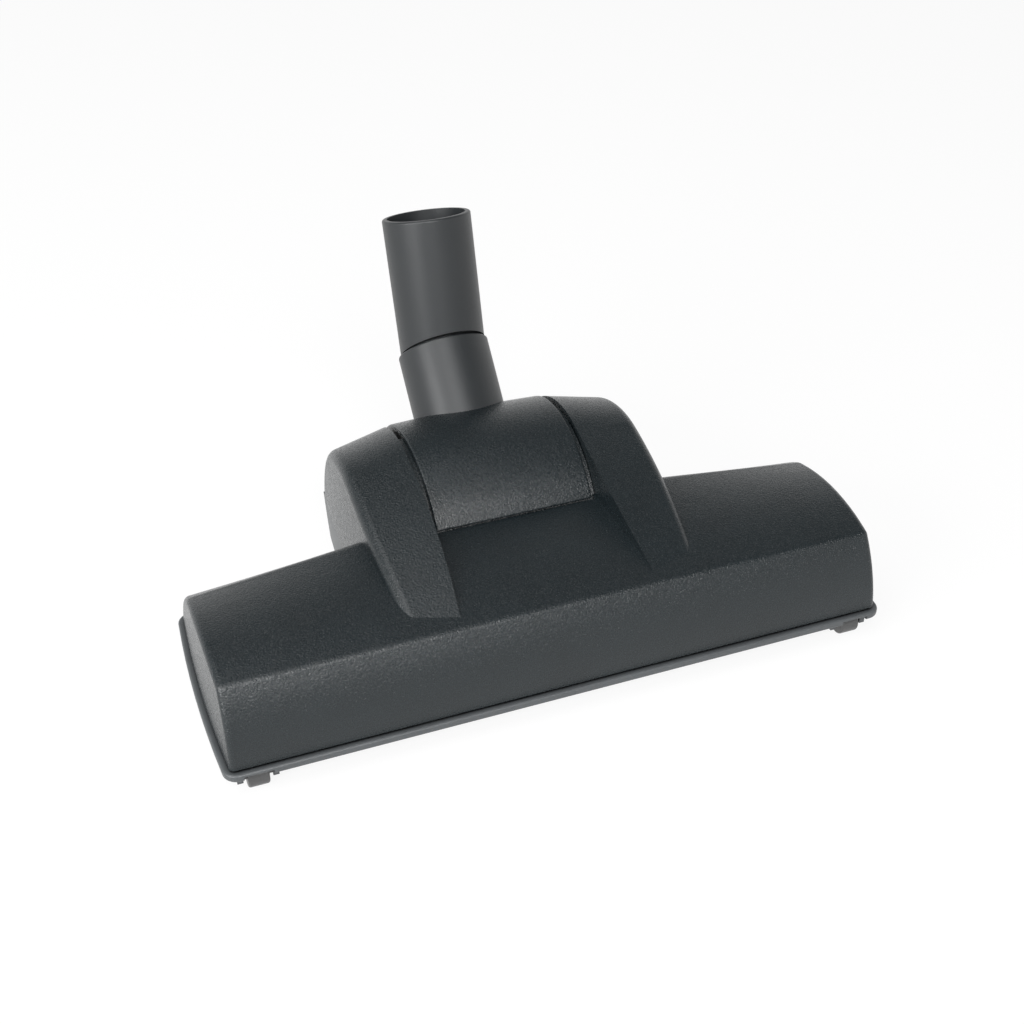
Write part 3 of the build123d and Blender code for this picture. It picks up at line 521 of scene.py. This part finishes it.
class HEAD_OT_brush_roll(bpy.types.Operator):
    """Brush core, and tufts of single nylon fibres"""

    bl_idname = "brush_head.brush_roll"
    bl_label = "Brush roll"

    def execute(self, context):
        finish = context.scene.brush_head_finish
        bristle = context.scene.brush_head_bristle
        # The core's polyamide is black with a low, even sheen.
        core = moulded_plastic(
            "brush_polyamide", finish.drive_colour, roughness=0.45, grain=0.5, depth=0.02, spread=0.05
        )
        finish_nodes(core, "brush_core", "brush_pulley", *pair("bearing_holder"))
        # Drawn nylon is smooth, so each fibre carries a thin highlight.
        nylon = moulded_plastic("nylon_fibre", finish.bristle_colour, roughness=0.4, grain=0.3, depth=0.005)
        fibres = new_piece("bristle_fibres", self.grow_fibres(bristle), nylon, "brush")
        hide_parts("bristle_tufts")
        return {"FINISHED"}

    def grow_fibres(self, bristle):
        """A bmesh of tapered fibres, as many in the place of each tuft as the settings say."""
        draw = random.Random(bristle.seed)
        axis = joint_place("brush_spin")
        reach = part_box("bristle_tufts")[1].z - axis.z
        shape = bmesh.new()
        for middle, low, high in islands("bristle_tufts"):
            out = (middle - axis) * Vector((0, 1, 1))
            half = (high.x - low.x) / 2 - bristle.fibre_radius
            turned = out.to_track_quat("Z", "X").to_matrix().to_4x4()
            upright = Matrix.Translation((middle.x, axis.y, axis.z)) @ turned
            root = out.length * 2 - reach
            for _ in range(bristle.fibres):
                turn = draw.uniform(0, math.tau)
                spread = half * math.sqrt(draw.random())
                length = reach - root - bristle.uneven * draw.random()
                place = Matrix.Translation(
                    (spread * math.cos(turn), spread * math.sin(turn), root + length / 2)
                )
                bmesh.ops.create_cone(
                    shape,
                    cap_ends=True,
                    segments=FIBRE_SIDES,
                    radius1=bristle.fibre_radius,
                    radius2=FIBRE_TIP * bristle.fibre_radius,
                    depth=length,
                    matrix=upright @ place,
                )
        return shape


class HEAD_OT_drive(bpy.types.Operator):
    """Turbine, belt, bushes and shaft"""

    bl_idname = "brush_head.drive"
    bl_label = "Drive"

    def execute(self, context):
        finish = context.scene.brush_head_finish
        # The turbine's polyamide is black, and a little glossier than the brush core's.
        polyamide = moulded_plastic(
            "turbine_polyamide", finish.drive_colour, roughness=0.4, grain=0.5, depth=0.02, spread=0.05
        )
        finish_nodes(polyamide, "turbine_wheel", "turbine_pinion", "turbine_cover")
        # The belt is dull and black, worn evenly by its pulleys.
        rubber = moulded_plastic(
            "belt_rubber", finish.rubber_colour, roughness=0.75, grain=0.3, depth=0.05, speckle=0.2
        )
        finish_nodes(rubber, "drive_belt")
        # Sintered bronze is brown and half dull from its pores.
        bronze = worked_metal("sintered_bronze", finish.bronze_colour, roughness=0.5, grain=0.25)
        for name in ("brush_bush", "turbine_bush", "pivot_bush"):
            finish_nodes(bronze, *pair(name))
        # The shaft is ground finer than the axles, so it is brighter.
        steel = worked_metal("ground_shaft_steel", finish.steel_colour, roughness=0.28, grain=0.15)
        finish_nodes(steel, "turbine_shaft")
        return {"FINISHED"}


class HEAD_OT_screws(bpy.types.Operator):
    """Plated steel screws with a cross recess in each head"""

    bl_idname = "brush_head.screws"
    bl_label = "Housing screws"

    def execute(self, context):
        finish = context.scene.brush_head_finish
        screw = context.scene.brush_head_screw
        # Zinc plate gives a bright, slightly uneven sheen.
        plated = worked_metal("zinc_plated_steel", finish.steel_colour, roughness=0.35, grain=0.2)
        shape = merged_shape("housing_screws")
        for _, low, high in islands("housing_screws"):
            centre = Vector((*(low.xy + high.xy) / 2, low.z))
            self.cut_recess(shape, centre, (high.x - low.x) / 2, screw)
        bmesh.ops.recalc_face_normals(shape, faces=shape.faces)
        # The fill's faces come in another order in each run, so they are sorted by place.
        shape.faces.sort(key=lambda face: face.calc_center_median().dot(SORT_WAY))
        for face in shape.faces:
            face.smooth = True
        for edge in shape.edges:
            edge.smooth = edge.calc_face_angle(0) < SHARP_ANGLE
        screws = new_piece("cross_recess_screws", shape, plated, "head")
        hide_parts("housing_screws")
        return {"FINISHED"}

    def cut_recess(self, shape, centre, radius, screw):
        """Swaps the flat end of a head for one with a tapered cross in it."""
        flat = [
            face for face in shape.faces
            if all(
                abs(vert.co.z - centre.z) < LEVEL and (vert.co - centre).length < HEAD_MARGIN * radius
                for vert in face.verts
            )
        ]
        border = [edge for edge in shape.edges if len(set(edge.link_faces).intersection(flat)) == 1]
        bmesh.ops.delete(shape, geom=flat, context="FACES")
        quarter = (
            (screw.reach, -screw.half_width),
            (screw.reach, screw.half_width),
            (screw.half_width, screw.half_width),
        )
        corners = []
        for turn in range(4):
            spin = Matrix.Rotation(turn * math.pi / 2, 3, "Z")
            corners += [spin @ Vector((*corner, 0)) for corner in quarter]
        verts = [shape.verts.new(centre + corner) for corner in corners]
        cross = [shape.edges.new((verts[place - 1], verts[place])) for place in range(len(verts))]
        bmesh.ops.triangle_fill(shape, edges=border + cross, use_beauty=True)
        sunk = bmesh.ops.extrude_edge_only(shape, edges=cross)["geom"]
        for vert in sunk:
            if isinstance(vert, bmesh.types.BMVert):
                vert.co = centre + (vert.co - centre) * screw.taper + Vector((0, 0, screw.depth))
        half_way = centre.z + screw.depth / 2
        deep = [
            edge for edge in sunk
            if isinstance(edge, bmesh.types.BMEdge) and all(vert.co.z > half_way for vert in edge.verts)
        ]
        bmesh.ops.triangle_fill(shape, edges=deep, use_beauty=True)


class HEAD_OT_stage(bpy.types.Operator):
    """Pale floor, soft boxes, room light and camera"""

    bl_idname = "brush_head.stage"
    bl_label = "Stage"

    def execute(self, context):
        stage = context.scene.brush_head_stage
        self.lay_floor(stage)
        middle = (cad_box[0] + cad_box[1]) / 2
        for name, place, size in LAMPS:
            self.hang_lamp(name + "_lamp", place, middle, size, getattr(stage, name + "_power"))
        self.light_room(stage)
        self.place_camera(stage)
        context.scene.view_settings.view_transform = "Standard"
        return {"FINISHED"}

    def lay_floor(self, stage):
        """A matt floor that a camera or a reflection sees as nearly white, with its shadow."""
        material, tree = new_material("matt_floor")
        white = add_node(
            tree, "ShaderNodeMath", {0: seen_rays(tree), 1: stage.floor_white}, operation="MULTIPLY"
        )
        matt = add_node(tree, "ShaderNodeBsdfDiffuse", {"Color": stage.floor_colour})
        glow = add_node(tree, "ShaderNodeEmission", {"Strength": 1.0})
        mixed = add_node(
            tree, "ShaderNodeMixShader", {0: white.outputs[0], 1: matt.outputs[0], 2: glow.outputs[0]}
        )
        # From below, the floor is clear, so that the sole can be looked at.
        side = add_node(tree, "ShaderNodeNewGeometry", {})
        clear = add_node(tree, "ShaderNodeBsdfTransparent", {})
        whole = add_node(
            tree,
            "ShaderNodeMixShader",
            {0: side.outputs["Backfacing"], 1: mixed.outputs[0], 2: clear.outputs[0]},
        )
        add_node(tree, "ShaderNodeOutputMaterial", {"Surface": whole.outputs[0]})
        shape = bmesh.new()
        bmesh.ops.create_grid(shape, x_segments=1, y_segments=1, size=stage.floor_size / 2)
        floor = new_object("floor", shape, material)

    def hang_lamp(self, name, place, target, size, power):
        """A rectangular soft box that faces a point."""
        lamp = bpy.data.lights.new(name, "AREA")
        lamp.shape = "RECTANGLE"
        lamp.size, lamp.size_y = size
        lamp.energy = power
        holder = bpy.data.objects.new(name, lamp)
        holder.location = place
        holder.rotation_euler = (target - Vector(place)).to_track_quat("-Z", "Y").to_euler()
        bpy.context.scene.collection.objects.link(holder)

    def light_room(self, stage):
        """A dim even room for light. Seen or mirrored, it has white walls and a dim ceiling."""
        world = bpy.data.worlds.new("room")
        world.use_nodes = True
        tree = world.node_tree
        tree.nodes.clear()
        white = linear("#ffffff")
        way = add_node(tree, "ShaderNodeTexCoord", {}).outputs["Generated"]
        rise = add_node(tree, "ShaderNodeSeparateXYZ", {"Vector": way}).outputs["Z"]
        wall = add_node(
            tree,
            "ShaderNodeMapRange",
            {
                "Value": rise,
                "From Min": WALL_RISE,
                "From Max": CEILING_RISE,
                "To Min": 1.0,
                "To Max": stage.world_strength,
            },
        )
        dim = add_node(tree, "ShaderNodeBackground", {"Color": white, "Strength": stage.world_strength})
        seen = add_node(tree, "ShaderNodeBackground", {"Color": white, "Strength": wall.outputs["Result"]})
        mixed = add_node(
            tree, "ShaderNodeMixShader", {0: seen_rays(tree), 1: dim.outputs[0], 2: seen.outputs[0]}
        )
        add_node(tree, "ShaderNodeOutputWorld", {"Surface": mixed.outputs[0]})
        bpy.context.scene.world = world

    def place_camera(self, stage):
        """The camera in front, left and above, looking down on the head."""
        data = bpy.data.cameras.new("camera")
        data.lens = stage.lens
        camera = bpy.data.objects.new("camera", data)
        camera.location = Vector(CAMERA_PLACE) * MM
        camera.rotation_euler = Vector(CAMERA_WAY).to_track_quat("-Z", "Y").to_euler()
        bpy.context.scene.collection.objects.link(camera)
        bpy.context.scene.camera = camera


STEPS = (
    HEAD_OT_textured_shells,
    HEAD_OT_satin_pipes,
    HEAD_OT_base_plastics,
    HEAD_OT_rollers,
    HEAD_OT_brush_roll,
    HEAD_OT_drive,
    HEAD_OT_screws,
    HEAD_OT_stage,
)


class HEAD_PT_steps(bpy.types.Panel):
    """Lists the steps that dress the brush head"""

    bl_idname = "HEAD_PT_steps"
    bl_label = "Brush head"
    bl_space_type = "VIEW_3D"
    bl_region_type = "UI"
    bl_category = "Brush Head"

    def draw(self, context):
        for step in STEPS:
            self.layout.operator(step.bl_idname)


SETTINGS = {
    "brush_head_finish": FinishSettings,
    "brush_head_bristle": BristleSettings,
    "brush_head_screw": ScrewSettings,
    "brush_head_stage": StageSettings,
}
CLASSES = (*SETTINGS.values(), *STEPS, HEAD_PT_steps)


def register():
    for kind in CLASSES:
        bpy.utils.register_class(kind)
    for name, kind in SETTINGS.items():
        setattr(bpy.types.Scene, name, PointerProperty(type=kind))


def unregister():
    for name in SETTINGS:
        delattr(bpy.types.Scene, name)
    for kind in reversed(CLASSES):
        bpy.utils.unregister_class(kind)


def main():
    """Runs each step."""
    register()
    for step in STEPS:
        group, name = step.bl_idname.split(".")
        getattr(getattr(bpy.ops, group), name)()


if __name__ == "__main__":
    main()
